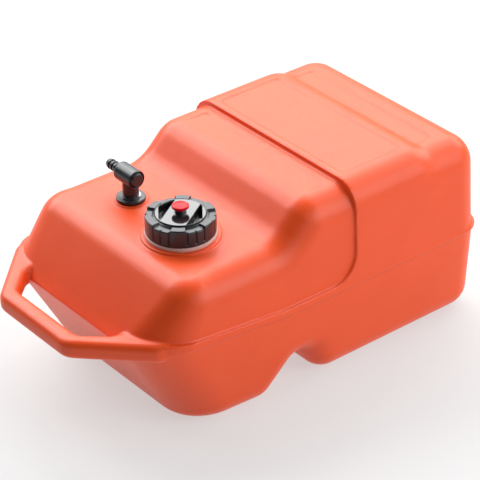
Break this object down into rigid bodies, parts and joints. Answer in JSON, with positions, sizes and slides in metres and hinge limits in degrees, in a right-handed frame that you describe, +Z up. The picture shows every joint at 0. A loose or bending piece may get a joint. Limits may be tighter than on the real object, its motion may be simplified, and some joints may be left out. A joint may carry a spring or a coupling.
{
  "type": "portable outboard fuel tank",
  "caption": "Low red plastic fuel tank with a moulded carry handle, a vented screw filler cap and a swivelling pickup elbow with a hose barb.",
  "frame": {"origin": "on the floor under the middle of the overall box", "axes": "+X across the tank towards the filler cap's side, +Y from the handle to the tall end, +Z up"},
  "size_m": [0.309, 0.566, 0.2427],
  "materials": {
    "tank_polyethylene": "blow-moulded, fine satin grain",
    "seal_rubber": "smooth, pinkish grey",
    "black_nylon": "injection moulded, semi-gloss",
    "black_rubber": "moulded, dull",
    "red_knob_plastic": "injection moulded, glossy",
    "turned_brass": "turned",
    "white_acetal": "moulded, satin",
    "clip_steel": "stamped stainless strip"
  },
  "bodies": {
    "tank": {"tank_shell": "tank_polyethylene", "collar_ring": "seal_rubber", "pickup_flange": "black_nylon", "flange_gasket": "black_rubber", "retaining_clip": "clip_steel", "dip_tube": "white_acetal", "inlet_strainer": "white_acetal"},
    "cap_seal": {"cap_gasket": "black_rubber"},
    "cap": {"cap_shell": "black_nylon", "cap_insert": "black_nylon", "vent_seat": "white_acetal"},
    "vent_seal": {"vent_o_ring": "black_rubber"},
    "vent_screw": {"vent_stem": "turned_brass", "vent_knob": "red_knob_plastic"},
    "pickup": {"pickup_elbow": "black_nylon", "swivel_o_ring_upper": "black_rubber", "swivel_o_ring_lower": "black_rubber", "barrel_plug": "black_nylon", "plug_o_ring": "black_rubber", "hose_barb": "black_nylon", "barb_o_ring": "black_rubber"}
  },
  "joints": [
    {"name": "cap_rise", "type": "slide", "parent": "tank", "child": "cap_seal", "axis": [0, 0, 1], "range_m": [0, 0.0201]},
    {"name": "cap_turn", "type": "hinge", "parent": "cap_seal", "child": "cap", "pos_m": [0.0415, -0.099, 0.2035], "axis": [0, 0, 1], "range_deg": [0, 900]},
    {"name": "vent_rise", "type": "slide", "parent": "cap", "child": "vent_seal", "axis": [0, 0, 1], "range_m": [0, 0.0031]},
    {"name": "vent_turn", "type": "hinge", "parent": "vent_seal", "child": "vent_screw", "pos_m": [0.0415, -0.099, 0.2308], "axis": [0, 0, 1], "range_deg": [0, 540]},
    {"name": "pickup_swivel", "type": "hinge", "parent": "tank", "child": "pickup", "pos_m": [-0.0574, -0.096, 0.2056], "axis": [0, 0, 1], "continuous": true}
  ],
  "couplings": [
    {"joint": "cap_rise", "follows": "cap_turn", "m_per_rad": 0.0012732},
    {"joint": "vent_rise", "follows": "vent_turn", "m_per_rad": 0.00031831}
  ]
}
